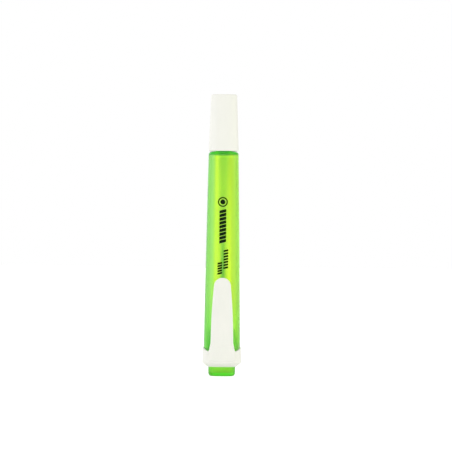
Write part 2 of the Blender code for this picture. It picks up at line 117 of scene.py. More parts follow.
class Wire:
    """A node's output. Sums written on it become Math nodes."""

    def __init__(self, tree, socket):
        self.tree = tree
        self.socket = socket

    def maths(self, operation, *values):
        return self.tree.node("ShaderNodeMath", {"operation": operation}, dict(enumerate(values)))

    def __add__(self, other):
        return self.maths("ADD", self, other)

    def __sub__(self, other):
        return self.maths("SUBTRACT", self, other)

    def __rsub__(self, other):
        return self.maths("SUBTRACT", other, self)

    def __mul__(self, other):
        return self.maths("MULTIPLY", self, other)

    def __truediv__(self, other):
        return self.maths("DIVIDE", self, other)

    def __rtruediv__(self, other):
        return self.maths("DIVIDE", other, self)

    def __pow__(self, other):
        return self.maths("POWER", self, other)

    def __neg__(self):
        return self.maths("MULTIPLY", self, -1.0)

    def __abs__(self):
        return self.maths("ABSOLUTE", self)

    __radd__ = __add__
    __rmul__ = __mul__

    def sine(self):
        return self.maths("SINE", self)

    def cosine(self):
        return self.maths("COSINE", self)

    def sign(self):
        return self.maths("SIGN", self)

    def floor(self):
        return self.maths("FLOOR", self)

    def least(self, other):
        return self.maths("MINIMUM", self, other)

    def most(self, other):
        return self.maths("MAXIMUM", self, other)

    def between(self, low, high):
        return self.most(low).least(high)

    def rise(self, low, high):
        """0 up to low, 1 from high, and straight between them. Where low is the greater, it falls."""
        return ((self - low) / (high - low)).between(0.0, 1.0)


class Tree:
    """Makes nodes in a node tree."""

    def __init__(self, tree):
        self.tree = tree

    def node(self, kind, settings=None, values=None, output=0):
        made = self.tree.nodes.new(kind)
        for name, value in (settings or {}).items():
            setattr(made, name, value)
        for name, value in (values or {}).items():
            if isinstance(value, Wire):
                self.tree.links.new(value.socket, made.inputs[name])
            else:
                made.inputs[name].default_value = value
        return Wire(self, made.outputs[output])


class Geometry(Tree):
    """A Geometry Nodes tree with named inputs, which ends in Realize Instances and Set Material."""

    KINDS = {"geometry": "Geometry", "number": "Float", "count": "Int", "finish": "Material"}

    def __init__(self, name, inputs):
        super().__init__(bpy.data.node_groups.new(name, "GeometryNodeTree"))
        self.tree.interface.new_socket("Geometry", in_out="OUTPUT", socket_type="NodeSocketGeometry")
        for label, kind in {"Shape": "geometry", **inputs, "Finish": "finish"}.items():
            socket_type = f"NodeSocket{self.KINDS[kind]}"
            self.tree.interface.new_socket(label, in_out="INPUT", socket_type=socket_type)
        self.source = self.tree.nodes.new("NodeGroupInput")

    def given(self, label):
        return Wire(self, self.source.outputs[label])

    def position(self):
        axes = self.node("ShaderNodeSeparateXYZ", values={0: self.node("GeometryNodeInputPosition")})
        made = axes.socket.node
        return [Wire(self, made.outputs[axis]) for axis in range(3)]

    def attribute(self, name):
        return self.node("GeometryNodeInputNamedAttribute", {"data_type": "FLOAT"}, {"Name": name})

    def point(self, x, y, z):
        return self.node("ShaderNodeCombineXYZ", values={0: x, 1: y, 2: z})

    def end(self, shape):
        realised = self.node("GeometryNodeRealizeInstances", values={"Geometry": shape})
        finished = self.node(
            "GeometryNodeSetMaterial", values={"Geometry": realised, "Material": self.given("Finish")}
        )
        out = self.tree.nodes.new("NodeGroupOutput")
        self.tree.links.new(finished.socket, out.inputs[0])

    def made_from(self, piece, values, material):
        """Runs the tree on the piece and leaves its result as the piece's plain mesh."""
        modifier = piece.modifiers.new(self.tree.name, "NODES")
        modifier.node_group = self.tree
        for item in self.tree.interface.items_tree:
            if item.in_out == "INPUT" and item.name in values:
                modifier[item.identifier] = values[item.name]
            if item.in_out == "INPUT" and item.name == "Finish":
                modifier[item.identifier] = material
        return settle(piece)


def settle(piece):
    """Leaves what the piece's modifiers make of it as its plain mesh."""
    evaluated = piece.evaluated_get(bpy.context.evaluated_depsgraph_get())
    mesh = bpy.data.meshes.new_from_object(evaluated)
    piece.modifiers.clear()
    piece.data = mesh
    mesh.name = piece.name
    return piece


def casing_tree():
    """Walks an oval along a profile: each point of the profile is one ring of the casing."""
    tree = Geometry("oval_casing", {"Points Round": "count"})
    profile = tree.given("Shape")
    count = tree.given("Points Round")
    rings = tree.node("GeometryNodeAttributeDomainSize", {"component": "MESH"}, {"Geometry": profile})
    grid = tree.node(
        "GeometryNodeMeshGrid",
        values={"Size X": 1.0, "Size Y": 1.0, "Vertices X": rings, "Vertices Y": count + 1},
    )
    index = tree.node("GeometryNodeInputIndex")
    ring = ((index + 0.5) / (count + 1)).floor()
    angle = (index - ring * (count + 1)) * (-2 * math.pi) / count

    def of_ring(value, data_type="FLOAT"):
        return tree.node(
            "GeometryNodeSampleIndex",
            {"data_type": data_type, "domain": "POINT", "clamp": True},
            {"Geometry": profile, "Value": value, "Index": ring},
        )

    place = of_ring(tree.node("GeometryNodeInputPosition"), "FLOAT_VECTOR")
    axes = tree.node("ShaderNodeSeparateXYZ", values={0: place}).socket.node
    half_width = Wire(tree, axes.outputs["X"])
    height = Wire(tree, axes.outputs["Z"])
    half_depth, power, dip, slant = [
        of_ring(tree.attribute(name)) for name in ("half_depth", "power", "dip", "slant")
    ]
    across = angle.cosine()
    back = angle.sine()
    reach = abs(back) ** (2 / power)
    x = across.sign() * abs(across) ** (2 / power) * half_width
    y = back.sign() * reach * half_depth
    z = height - dip * reach**1.5 + slant * x
    moved = tree.node(
        "GeometryNodeSetPosition", values={"Geometry": grid, "Position": tree.point(x, y, z)}
    )
    closed = tree.node("GeometryNodeMergeByDistance", values={"Geometry": moved, "Distance": 0.002 * MM})
    tree.end(closed)
    return tree


def barrel_half_width(z):
    share = min(max((z - TAPER_START) / (TAPER_END - TAPER_START), 0), 1)
    return REAR_HALF_WIDTH - (REAR_HALF_WIDTH - FRONT_HALF_WIDTH) * share**TAPER_POWER


def print_tree():
    """Repeats a flat mark down the barrel's front and lays it on the barrel's curve."""
    tree = Geometry(
        "print_on_barrel",
        {"Copies": "count", "Pitch": "number", "Top": "number", "Aside": "number"},
    )
    line = tree.node(
        "GeometryNodeMeshLine",
        {"mode": "OFFSET"},
        {
            "Count": tree.given("Copies"),
            "Start Location": tree.point(tree.given("Aside"), 0.0, tree.given("Top")),
            "Offset": tree.point(0.0, 0.0, -tree.given("Pitch")),
        },
    )
    copies = tree.node(
        "GeometryNodeInstanceOnPoints", values={"Points": line, "Instance": tree.given("Shape")}
    )
    flat = tree.node("GeometryNodeRealizeInstances", values={"Geometry": copies})
    x, out, z = tree.position()
    share = z.rise(TAPER_START, TAPER_END)
    half_width = REAR_HALF_WIDTH - share**TAPER_POWER * (REAR_HALF_WIDTH - FRONT_HALF_WIDTH)
    surface = (1 - abs(x / half_width) ** OVAL) ** (1 / OVAL) * half_width * DEPTH_SHARE
    laid = tree.node(
        "GeometryNodeSetPosition",
        values={"Geometry": flat, "Position": tree.point(x, out - surface, z)},
    )
    tree.end(laid)
    return tree


def smooth_least(first, second, width):
    """The lesser of two distances, rounded where they meet over the given width."""
    return first.maths("SMOOTH_MIN", first, second, width)


def smooth_most(first, second, width):
    """The greater of two distances, rounded where they meet over the given width."""
    return first.maths("SMOOTH_MAX", first, second, width)


def moulding_tree():
    """The clip and its collar as one moulding, from distances: every edge is rounded as in a mould."""
    tree = Geometry("clip_moulding", {"Voxel": "number"})
    x, y, z = [value / MM for value in tree.position()]  # in millimetres
    side = abs(x)
    wide = REAR_HALF_WIDTH / MM
    deep = wide * DEPTH_SHARE
    across = side / wide
    back = abs(y) / deep
    oval = (across**OVAL + back**OVAL + 0.0001) ** (1 / OVAL)
    steep_x = across ** (OVAL - 1) / wide
    steep_y = back ** (OVAL - 1) / deep
    steepness = (steep_x * steep_x + steep_y * steep_y + 0.00001) ** 0.5 / oval ** (OVAL - 1)
    out = (oval - 1) / steepness  # how far outside the barrel's rear oval the point is

    widest = COLLAR_HIGH.x / MM - wide
    widest_z = COLLAR_WIDEST_Z / MM
    flank = out - (widest - (z - widest_z) * COLLAR_DRAFT)
    bevel_length = math.hypot(BEVEL_RUN, BEVEL_RISE)
    bevel = (out - widest) * (BEVEL_RISE / bevel_length) - (z - widest_z) * (BEVEL_RUN / bevel_length)
    rim = z - (COLLAR_TOP / MM - (back**1.5).least(1.3) * (COLLAR_DIP / MM))
    collar = smooth_most(smooth_most(flank, bevel, 0.18), rim, 0.3)
    collar = smooth_most(collar, COLLAR_LOW.z / MM - z, 0.2)
    seat = (out + COLLAR_BORE_REACH / MM).most(COLLAR_LIP_Z / MM - z)
    hole = out + COLLAR_LIP_REACH / MM
    collar = collar.most(-seat).most(-hole)

    face = -ARM_LOW.y / MM
    tip_radius = CLIP_TIP_RADIUS / MM
    root_z = ARM_LOW.z / MM
    root_half = ARM_HIGH.x / MM
    start_z = ARM_HIGH.z / MM - tip_radius
    share = z.rise(root_z, start_z)
    half = root_half - share * share * (root_half - tip_radius)
    flare = ((FLARE_TOP / MM - z).most(0.0) ** 2 * FLARE_CURVE).least(FLARE_MOST / MM)
    beyond = (z - start_z).most(0.0)
    outline = (x * x + beyond * beyond + 0.0001) ** 0.5 - half - flare
    crown = (x / root_half) ** 2 * (CLIP_CROWN / MM)
    lean = (CLIP_LEAN_TOP / MM - z).most(0.0) * CLIP_LEAN
    front = smooth_most(outline, -y - (face - crown - lean), 0.55)
    blade = smooth_most(front, y + (face - CLIP_THICKNESS / MM), 0.3)
    blade = blade.most(root_z - 0.4 - z)
    foot = smooth_most(front, z - (root_z + 0.2), 1.2)
    foot = foot.most(deep + 0.2 + y).most(7.2 - z)

    pad = smooth_most(side - PAD_HALF_WIDTH / MM, abs(z - PAD_Z / MM) - PAD_HALF_LENGTH / MM, 0.5)
    pad_face = (barrel_half_width(PAD_Z) * DEPTH_SHARE + PAD_GAP) / MM
    pad = smooth_most(pad, y + pad_face, 0.4).most(-y - face + 0.6)
    moulding = smooth_least(smooth_least(collar, foot, 0.9), blade, 0.7)
    moulding = smooth_least(moulding, pad, 0.5)

    margin = Vector((1, 1, 1)) * 0.6 * MM
    low = Vector((COLLAR_LOW.x, ARM_LOW.y, COLLAR_LOW.z)) - margin
    high = Vector((COLLAR_HIGH.x, COLLAR_HIGH.y, ARM_HIGH.z)) + margin
    counts = [((high[axis] - low[axis]) / tree.given("Voxel")).floor() for axis in range(3)]
    volume = tree.node(
        "GeometryNodeVolumeCube",
        values={
            "Density": 0.5 - moulding,
            "Background": 0.0,
            "Min": tuple(low),
            "Max": tuple(high),
            "Resolution X": counts[0],
            "Resolution Y": counts[1],
            "Resolution Z": counts[2],
        },
    )
    mesh = tree.node(
        "GeometryNodeVolumeToMesh",
        {"resolution_mode": "GRID"},
        {"Volume": volume, "Threshold": 0.5, "Adaptivity": 0.02},
    )
    tree.end(mesh)
    return tree


# Finishes --------------------------------------------------------------------------------------------


class Finish(Tree):
    """A material on one Principled shader."""

    def __init__(self, name, **constants):
        self.material = bpy.data.materials.new(name)
        self.material.use_nodes = True
        super().__init__(self.material.node_tree)
        self.shader = self.tree.nodes["Principled BSDF"]
        for label, value in constants.items():
            self.shader.inputs[label.replace("_", " ")].default_value = value

    def place(self):
        return self.node("ShaderNodeTexCoord", output="Object")

    def axes_in_mm(self):
        axes = self.node("ShaderNodeSeparateXYZ", values={0: self.place()}).socket.node
        return [Wire(self, axes.outputs[axis]) / MM for axis in range(3)]

    def spread(self, stretch):
        """Places drawn out along each axis by one over the given shares."""
        return self.node("ShaderNodeMapping", values={"Vector": self.place(), "Scale": stretch})

    def noise(self, where, size, detail=3.0, roughness=0.55):
        values = {"Vector": where, "Scale": 1 / size, "Detail": detail, "Roughness": roughness}
        return self.node("ShaderNodeTexNoise", values=values)

    def blend(self, share, first, second):
        return self.node(
            "ShaderNodeMix",
            {"data_type": "RGBA"},
            {"Factor": share, 6: (*first, 1) if isinstance(first, tuple) else first, 7: (*second, 1)},
            output=2,
        )

    def bump(self, height, depth, strength=1.0):
        values = {"Height": height, "Distance": depth, "Strength": strength}
        return self.node("ShaderNodeBump", values=values)

    def feed(self, label, value):
        self.tree.links.new(value.socket, self.shader.inputs[label])

    def absorb(self, colour, density):
        values = {"Color": (*colour, 1), "Density": density}
        absorption = self.node("ShaderNodeVolumeAbsorption", values=values)
        output = self.tree.nodes["Material Output"]
        self.tree.links.new(absorption.socket, output.inputs["Volume"])


def white_plastic():
    """Satin white plastic with the faint orange peel of a mould and rubbed patches."""
    finish = Finish("white_plastic", Specular_IOR_Level=0.45)
    place = finish.place()
    peel = finish.noise(place, 0.5 * MM, 2.0)
    patches = finish.noise(finish.spread((1, 1, 0.35)), 5 * MM, 4.0)
    scuffs = finish.noise(finish.spread((1, 1, 0.08)), 0.35 * MM, 2.0).rise(0.62, 0.74)
    dull, clean = (0.83, 0.835, 0.775), (0.86, 0.86, 0.80)
    finish.feed("Base Color", finish.blend(patches.rise(0.35, 0.7), dull, clean))
    finish.feed("Roughness", 0.36 + patches * 0.12 + scuffs * 0.1)
    finish.feed("Normal", finish.bump(peel + scuffs * 0.4, 0.006 * MM))
    return finish.material


def green_plastic(name, light, dark, right_lit_colour, painted_glow, density):
    """Clear green plastic, a little cloudy, whose colour deepens with its thickness.

    Its colour carries painted light: bluish painted shade along its left edge, painted yellow light on its
    right side with a painted highlight at the right edge, painted shade near the collar and a painted dark
    band at the front shoulder; its emission is a painted glow.
    """
    left_shade, left_edge_shade = (0.876, 0.888, 0.824), (0.78, 0.80, 0.90)
    right_edge_highlight = (1.0, 1.0, 0.95)
    low_left_shade, low_right_shade = (0.50, 0.82, 0.50), (0.86, 0.97, 0.44)
    shoulder_shade, shoulder_glow = (0.5, 0.86, 0.35), (0.0, 0.33, 0.0)
    right_painted_glow, right_edge_glow = (0.27, 0.15, 0.0), (0.9, 0.88, 0.1)

    # the emission is a painted glow that lightens the plastic
    finish = Finish(name, Transmission_Weight=0.96, IOR=1.46, Emission_Strength=0.15)
    place = finish.place()
    flow = finish.noise(finish.spread((1, 1, 0.06)), 1.6 * MM, 3.0)
    patches = finish.noise(finish.spread((1, 1, 0.3)), 6 * MM, 3.0)
    grain = finish.noise(place, 0.6 * MM, 2.0)
    x, _, z = finish.axes_in_mm()
    half_width = 8.65 - z * 0.0167  # the barrel's, taken as a straight taper
    from_left = half_width + x
    from_right = half_width - x
    # painted light: towards the right side the colour turns yellow and the glow grows, as if lit by light
    # passed on from the ink
    right = x.rise(1.5, 4.5)
    past_plug = z.rise(5.5, 7.0)
    # painted shade: darker colour low on the barrel near the collar, fading out upwards
    low = past_plug * z.rise(36, 14)
    # painted shade: a dark band at the barrel's front shoulder, with its own painted glow
    front = z.rise(102.1, 102.6)

    colour = finish.blend(flow.rise(0.3, 0.7), dark, light)
    colour = finish.blend(right, colour, right_lit_colour)
    # painted shade towards the pen's left edge, darker and bluer at the very edge as a painted cool
    # reflection
    colour = finish.blend(past_plug * from_left.rise(4.0, 2.6), colour, left_shade)
    colour = finish.blend(past_plug * from_left.rise(2.6, 0.8), colour, left_edge_shade)
    # painted highlight: paler colour and a bright glow along the pen's right edge
    colour = finish.blend(past_plug * from_right.rise(2.2, 0.6), colour, right_edge_highlight)
    colour = finish.blend(low * from_left.rise(8.0, 6.0), colour, low_left_shade)
    colour = finish.blend(low * from_right.rise(8.0, 6.0), colour, low_right_shade)
    colour = finish.blend(front, colour, shoulder_shade)
    painted_emission = finish.blend(right * z.rise(14, 36), painted_glow, right_painted_glow)
    painted_emission = finish.blend(z.rise(8, 60) * from_right.rise(1.8, 0.3), painted_emission, right_edge_glow)
    finish.feed("Base Color", colour)
    finish.feed("Emission Color", finish.blend(front, painted_emission, shoulder_glow))
    finish.feed("Roughness", 0.24 + patches * 0.1)
    finish.feed("Normal", finish.bump(flow + grain * 0.2, 0.012 * MM))
    finish.absorb((0.56, 0.975, 0.015), density)
    return finish.material


def soaked_fibre():
    """Fibre soaked in ink, with a painted glow standing in for the ink's fluorescence: lengthwise strands,
    with painted shade down the middle of its front and a painted highlight streak on its left front.
    """
    dry, wet = (0.86, 0.95, 0.02), (0.97, 0.98, 0.02)
    front_shade_colour, front_shade_glow = (0.34, 0.66, 0.02), (0.12, 0.30, 0.0)
    top_painted_glow, top_right_painted_glow = (0.36, 0.45, 0.005), (0.5, 0.5, 0.005)
    low_painted_glow, highlight_glow = (1.0, 0.85, 0.0), (0.95, 0.74, 0.05)

    # the emission is a painted glow standing in for the ink's fluorescence
    finish = Finish("soaked_fibre", Emission_Strength=0.9)
    x, y, z = finish.axes_in_mm()
    strands = finish.noise(finish.spread((1, 1, 0.015)), 0.22 * MM, 4.0)
    clouds = finish.noise(finish.spread((1, 1, 0.4)), 7 * MM, 3.0)
    facing_clip = (-y).rise(0.0, 1.0)
    # painted shade: a darker band down the middle of the front, fading towards the top
    off_front_shade = (x - 0.1 + (clouds - 0.5) * 0.5) / 1.15
    front_shade = 1 / (1 + (off_front_shade * off_front_shade) ** 1.5) * facing_clip * (1 - z.rise(50, 90) * 0.75)
    # painted highlight: a bright streak down the left of the front
    off_highlight_streak = (x + 3.05) / 0.95
    highlight_streak = 1 / (1 + (off_highlight_streak * off_highlight_streak) ** 2) * facing_clip

    colour = finish.blend((strands * 0.6 + clouds * 0.5).rise(0.35, 0.8), dry, wet)
    # painted light: the glow is brighter to the right, brighter still low down, and on the highlight
    # streak
    painted_glow = finish.blend(x.rise(1.0, 3.0), top_painted_glow, top_right_painted_glow)
    painted_glow = finish.blend(z.rise(100, 50), painted_glow, low_painted_glow)
    painted_glow = finish.blend(highlight_streak, painted_glow, highlight_glow)
    finish.feed("Base Color", finish.blend(front_shade, colour, front_shade_colour))
    finish.feed("Emission Color", finish.blend(front_shade, painted_glow, front_shade_glow))
    finish.feed("Roughness", 0.75 - clouds * 0.2)
    finish.feed("Normal", finish.bump(strands, 0.05 * MM))
    return finish.material


def soaked_felt():
    """Pressed felt: short matted fibres, with darker and paler ink in random patches."""
    finish = Finish("soaked_felt", Sheen_Weight=0.3, Sheen_Roughness=0.5)
    mat = finish.noise(finish.spread((1, 1, 0.3)), 0.18 * MM, 5.0, 0.7)
    clouds = finish.noise(finish.place(), 1.5 * MM, 3.0)
    worn, fresh = (0.35, 0.72, 0.02), (0.6, 0.95, 0.06)
    finish.feed("Base Color", finish.blend((mat * 0.5 + clouds * 0.5).rise(0.35, 0.65), worn, fresh))
    finish.feed("Roughness", 0.8 + mat * 0.15)
    finish.feed("Normal", finish.bump(mat, 0.07 * MM))
    return finish.material


def clear_film():
    """Thin wrapping film with lengthwise draw lines."""
    finish = Finish("clear_film", Transmission_Weight=1.0, IOR=1.12)
    lines = finish.noise(finish.spread((1, 1, 0.02)), 0.4 * MM, 3.0)
    finish.feed("Base Color", finish.blend(lines, (0.93, 1.0, 0.80), (0.99, 1.0, 0.92)))
    finish.feed("Roughness", 0.08 + lines * 0.15)
    finish.feed("Normal", finish.bump(lines, 0.01 * MM))
    return finish.material


def print_ink():
    """Very dark green printing ink, a little thin in places."""
    finish = Finish("print_ink", Specular_IOR_Level=0.15)
    grain = finish.noise(finish.place(), 0.12 * MM, 3.0)
    thick, thin = (0.0, 0.008, 0.0), (0.002, 0.03, 0.001)
    finish.feed("Base Color", finish.blend(grain.rise(0.45, 0.8), thick, thin))
    finish.feed("Roughness", 0.4 + grain * 0.25)
    finish.feed("Normal", finish.bump(grain, 0.01 * MM))
    return finish.material


# Shapes ----------------------------------------------------------------------------------------------


def oval(z, half_width, less=0.0, dip=0.0):
    """A ring of a casing whose wall is that far inside an oval of the pen's own proportions."""
    return Ring(z, half_width - less, half_width * DEPTH_SHARE - less, OVAL, dip)


def around_barrel(z, half_width, dip=0.0):
    """A ring of a piece that stands off the barrel's rear by the same distance all round."""
    return Ring(z, half_width, half_width - REAR_INSET, OVAL, dip)


def turned(z, radius, power=ROUND):
    return Ring(z, radius, radius, power)


def slab(z, half_width, half_depth, slant=0.0):
    return Ring(z, half_width, half_depth, SLAB, 0.0, slant)


def stretch(first, last, steps):
    """Heights or sizes spaced evenly from first to last, both included."""
    return [first + (last - first) * step / steps for step in range(steps + 1)]


def rounding(steps=8):
    """Shares of a quarter round, from its start to its end: (inwards, upwards)."""
    angles = [math.pi / 2 * step / steps for step in range(steps + 1)]
    return [(1 - math.cos(angle), math.sin(angle)) for angle in angles]


def new_piece(name, mesh):
    piece = bpy.data.objects.new(name, mesh)
    bpy.context.scene.collection.objects.link(piece)
    return piece


def smooth(piece, angle=32):
    piece.data.shade_smooth()
    piece.data.set_sharp_from_angle(angle=math.radians(angle))
    return piece


def casing(name, rings, material, through=False, points=POINTS_ROUND):
    """A closed piece through a stack of rings: up its outside and, where it is a tube, down its inside."""
    if through:
        rings = [*rings, rings[0]]
    else:
        rings = [pole(rings[0]), *rings, pole(rings[-1])]
    mesh = bpy.data.meshes.new(name)
    mesh.from_pydata(
        [(ring.half_width, 0, ring.z) for ring in rings],
        [(place, place + 1) for place in range(len(rings) - 1)],
        [],
    )
    for label in ("half_depth", "power", "dip", "slant"):
        values = mesh.attributes.new(label, "FLOAT", "POINT")
        values.data.foreach_set("value", [getattr(ring, label) for ring in rings])
    piece = new_piece(name, mesh)
    CASING.made_from(piece, {"Points Round": points}, material)
    return smooth(piece)


def pole(ring):
    """The centre of a ring's flat end."""
    return ring._replace(half_width=0.0, half_depth=0.0, dip=0.0)


def rectangle(left, right, bottom, top):
    return [(left, bottom), (right, bottom), (right, top), (left, top)]


def extruded(name, outline, near, far, axis="Y"):
    """An outline of (x, z) corners extruded along Y, or of (y, z) corners along X, from near to far."""
    bm = bmesh.new()
    if axis == "Y":
        corners = [(across, near, z) for across, z in outline]
        along = (0, far - near, 0)
    else:
        corners = [(near, across, z) for across, z in outline]
        along = (far - near, 0, 0)
    side = bm.faces.new([bm.verts.new(corner) for corner in corners])
    made = bmesh.ops.extrude_face_region(bm, geom=[side])
    moved = [item for item in made["geom"] if isinstance(item, bmesh.types.BMVert)]
    bmesh.ops.translate(bm, vec=along, verts=moved)
    bmesh.ops.recalc_face_normals(bm, faces=bm.faces)
    mesh = bpy.data.meshes.new(name)
    bm.to_mesh(mesh)
    bm.free()
    return new_piece(name, mesh)


def combine(piece, helper, operation):
    """Cuts the helper out of the piece, or joins it on, and removes the helper."""
    boolean = piece.modifiers.new(helper.name, "BOOLEAN")
    boolean.operation = operation
    boolean.object = helper
    boolean.solver = "EXACT"
    settle(piece)
    bpy.data.objects.remove(helper)
    return smooth(piece)


def ride_as(piece, body, slot, *nodes):
    """Puts the piece on its body and in place of the nodes that it stands for. The slot is not used."""
    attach(piece, body)
    if nodes:
        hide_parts(*nodes)


# Pieces ----------------------------------------------------------------------------------------------


def make_barrel(material):
    seat = REAR_HALF_WIDTH - SEAT_STEP
    step_z = COLLAR_TOP + SEAT_GAP
    rings = [around_barrel(BARREL_LOW.z, seat - 0.3 * MM), around_barrel(BARREL_LOW.z + 0.3 * MM, seat)]
    rings.append(around_barrel(step_z, seat, COLLAR_DIP))
    rings += [
        around_barrel(step_z, REAR_HALF_WIDTH - 0.15 * MM, COLLAR_DIP),
        around_barrel(step_z + 0.05 * MM, REAR_HALF_WIDTH - 0.04 * MM, COLLAR_DIP),
        around_barrel(step_z + 0.15 * MM, REAR_HALF_WIDTH, COLLAR_DIP),
    ]
    level_z = COLLAR_TOP + 3 * MM
    rings += [oval(z, barrel_half_width(z)) for z in stretch(level_z, TAPER_END, 48)[:-1]]
    for inwards, upwards in rounding(10):
        z = TAPER_END + SHOULDER_RADIUS * upwards
        rings.append(oval(z, FRONT_HALF_WIDTH, SHOULDER_RADIUS * inwards))
    bore = 4.15 * MM
    bore_end = BARREL_HIGH.z - 1.2 * MM
    rings += [
        turned(BARREL_HIGH.z, bore + 0.25 * MM),
        turned(BARREL_HIGH.z - 0.07 * MM, bore + 0.07 * MM),
        turned(BARREL_HIGH.z - 0.25 * MM, bore),
        turned(bore_end, bore),
    ]
    inner_top = bore_end - 0.3 * MM
    rings += [oval(z, barrel_half_width(z), BARREL_WALL) for z in stretch(inner_top, BARREL_LOW.z, 40)]
    barrel = casing("barrel_shell", rings, material, through=True)

    rib_foot = FILM_HIGH.x + 0.2 * MM
    rib_slope = 1.5 * MM
    half_thickness = 0.25 * MM
    heights = stretch(24 * MM, 41 * MM, 6)
    for side in (-1, 1):
        outline = [(side * rib_foot, heights[-1] - rib_slope), (side * rib_foot, heights[0] + rib_slope)]
        outline += [(side * (barrel_half_width(z) * DEPTH_SHARE - BARREL_WALL / 2), z) for z in heights]
        for middle in (-1.0 * MM, 1.0 * MM):
            rib = extruded("rib", outline, middle - half_thickness, middle + half_thickness, "X")
            combine(barrel, rib, "UNION")
    ride_as(barrel, "pen", "clear_green_plastic", "barrel")


def make_end_plug(material):
    """A thick-walled cup: its tail shows below the collar and its skirt fills the barrel's rear."""
    tail = 6.25 * MM
    edge = 1.5 * MM
    gate = 0.9 * MM
    wall = 1.1 * MM
    floor = 1.5 * MM
    flange = 7.45 * MM
    flange_low, flange_high = 7.0 * MM, 7.5 * MM
    skirt = REAR_HALF_WIDTH - BARREL_WALL - 0.15 * MM
    lead_in = 15.5 * MM  # where the skirt starts to taper
    bevel = 0.1 * MM

    rings = [turned(0.12 * MM, 0.4 * MM), turned(0.1 * MM, gate - bevel), turned(0.0, gate)]
    for inwards, upwards in rounding(12):
        rings.append(around_barrel(edge * inwards, tail - edge * (1 - upwards)))
    rings += [
        around_barrel(6.5 * MM, tail),
        around_barrel(flange_low, flange - 0.15 * MM),
        around_barrel(flange_low + 0.15 * MM, flange),
        around_barrel(flange_high - bevel, flange),
        around_barrel(flange_high, flange - bevel),
        around_barrel(flange_high, skirt + bevel),
        around_barrel(flange_high + bevel, skirt),
        around_barrel(lead_in, skirt),
        around_barrel(PLUG_HIGH.z - bevel, skirt - 0.75 * MM),
        around_barrel(PLUG_HIGH.z, skirt - 0.85 * MM),
        around_barrel(PLUG_HIGH.z, skirt - wall + bevel),
        around_barrel(PLUG_HIGH.z - bevel, skirt - wall),
        around_barrel(8.2 * MM, skirt - wall),
        around_barrel(7.4 * MM, tail - wall),
        around_barrel(floor + 0.4 * MM, tail - wall - 0.25 * MM),
        around_barrel(floor + 0.1 * MM, tail - wall - 0.4 * MM),
        around_barrel(floor, tail - wall - 0.7 * MM),
    ]
    plug = casing("end_plug_moulding", rings, material)

    bar_half_width = 0.8 * MM
    bar_half_depth = skirt - wall / 2 - REAR_INSET
    bar = rectangle(-bar_half_width, bar_half_width, 8.6 * MM, 10.7 * MM)
    combine(plug, extruded("rest_bar", bar, -bar_half_depth, bar_half_depth), "UNION")
    ride_as(plug, "pen", "clear_green_plastic", "end_plug")


def make_clip_moulding(material):
    mesh = bpy.data.meshes.new("clip_moulding")
    clip = new_piece("clip_moulding", mesh)
    moulding_tree().made_from(clip, {"Voxel": 0.17 * MM}, material)
    clip.data.shade_smooth()
    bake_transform(clip)
    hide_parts("clip_collar", "clip_arm")


def make_reservoir(fibre, film):
    radius = FIBRE_HIGH.x
    channel_x = NIB_HIGH.x + 0.12 * MM
    channel_y = NIB_HIGH.y + 0.12 * MM
    foot = NIB_LOW.z - 0.12 * MM
    rings = [turned(FIBRE_LOW.z, radius - 0.4 * MM), turned(FIBRE_LOW.z + 0.1 * MM, radius - 0.1 * MM)]
    rings += [turned(z, radius) for z in stretch(FIBRE_LOW.z + 0.4 * MM, FIBRE_HIGH.z - 0.2 * MM, 30)]
    rings += [
        turned(FIBRE_HIGH.z, radius - 0.2 * MM),
        slab(FIBRE_HIGH.z, channel_x, channel_y),
        slab(foot, channel_x, channel_y),
    ]
    rod = casing("fibre_reservoir", rings, fibre)
    ride_as(rod, "pen", "soaked_fibre", "ink_reservoir")
    inside = FILM_HIGH.x - 0.17 * MM
    outside = FILM_HIGH.x - 0.08 * MM
    rings = [turned(z, outside) for z in stretch(FILM_LOW.z, FILM_HIGH.z, 20)]
    rings += [turned(z, inside) for z in stretch(FILM_HIGH.z, FILM_LOW.z, 20)]
    wrap = casing("film_wrap", rings, film, through=True)
    ride_as(wrap, "pen", "clear_film", "reservoir_film")


def make_nib(material):
    """A slab of felt whose end is cut aslant across its width and thinned to a chisel edge."""
    half_width = NIB_HIGH.x
    half_depth = NIB_HIGH.y
    wedge_z = 118.2 * MM
    low_z = 120.0 * MM
    slope = (NIB_HIGH.z - low_z) / (2 * half_width)
    middle = (NIB_HIGH.z + low_z) / 2
    edge = 0.25 * MM
    rings = [
        slab(NIB_LOW.z, half_width - edge, half_depth - edge),
        slab(NIB_LOW.z + edge, half_width, half_depth),
    ]
    rings += [slab(z, half_width, half_depth) for z in stretch(NIB_LOW.z + 1 * MM, wedge_z - 1.5 * MM, 24)]
    for share in stretch(0.0, 1.0, 8)[:-1]:
        z = wedge_z + (middle - wedge_z) * share - 0.4 * MM * share
        rings.append(slab(z, half_width, half_depth * (1 - 0.42 * share), slope * share))
    for inwards, upwards in rounding(5):
        z = middle - edge * (1 - upwards)
        less = edge * inwards
        rings.append(slab(z, half_width - less, half_depth * 0.56 - less, slope))
    nib = casing("felt_nib", rings, material, points=96)
    ride_as(nib, "pen", "soaked_felt", "nib")


